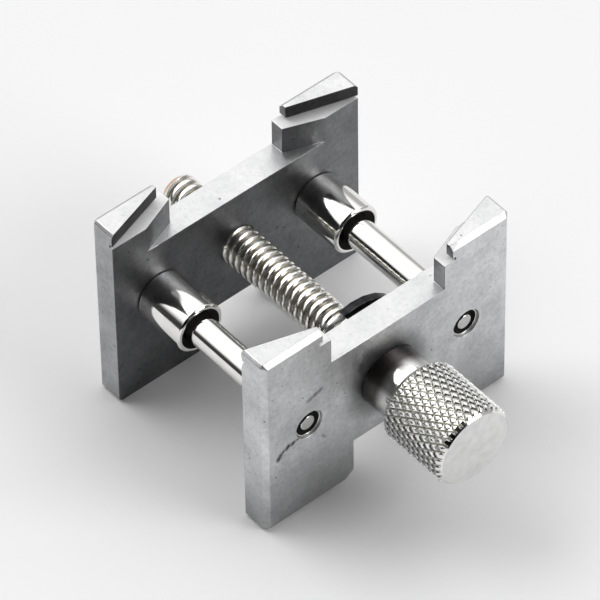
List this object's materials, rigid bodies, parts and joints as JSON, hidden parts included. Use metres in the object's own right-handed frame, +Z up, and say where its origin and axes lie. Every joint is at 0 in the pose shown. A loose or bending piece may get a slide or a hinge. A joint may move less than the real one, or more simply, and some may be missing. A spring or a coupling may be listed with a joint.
{
  "type": "watch movement holder",
  "caption": "Adjustable holder for a watch movement: notched aluminium jaws on guide rods, drawn together by a lead screw with a knurled thumb knob.",
  "frame": {"origin": "centre of the bounding box in plan, on the plane that the jaws' feet stand on", "axes": "+X along the lead screw towards the knob, +Y along the jaws, +Z up"},
  "size_m": [0.0346, 0.024, 0.0184],
  "materials": {
    "cast_aluminium": "cast and fine blasted, lightly worn edges",
    "polished_nickel": "mirror polished",
    "plated_brass": "thin nickel over machined brass, golden where it is thin",
    "knurled_nickel": "bright nickel, diamond knurled barrel and satin end",
    "black_spring_steel": "black oxide"
  },
  "bodies": {
    "fixed_frame": {"front_jaw": "cast_aluminium", "guide_rod_left": "polished_nickel", "guide_rod_right": "polished_nickel"},
    "moving_jaw": {"rear_jaw": "cast_aluminium", "guide_sleeve_left": "polished_nickel", "guide_sleeve_right": "polished_nickel"},
    "screw": {"lead_screw": "plated_brass", "thumb_knob": "knurled_nickel", "retaining_clip": "black_spring_steel"}
  },
  "joints": [
    {"name": "screw_spin", "type": "hinge", "parent": "fixed_frame", "child": "screw", "pos_m": [0, 0, 0.0092], "axis": [1, 0, 0], "range_deg": [-5092, 1029]},
    {"name": "jaw_slide", "type": "slide", "parent": "fixed_frame", "child": "moving_jaw", "axis": [1, 0, 0], "range_m": [-0.002, 0.0099]}
  ],
  "couplings": [
    {"joint": "screw_spin", "follows": "jaw_slide", "rad_per_m": -8976}
  ]
}
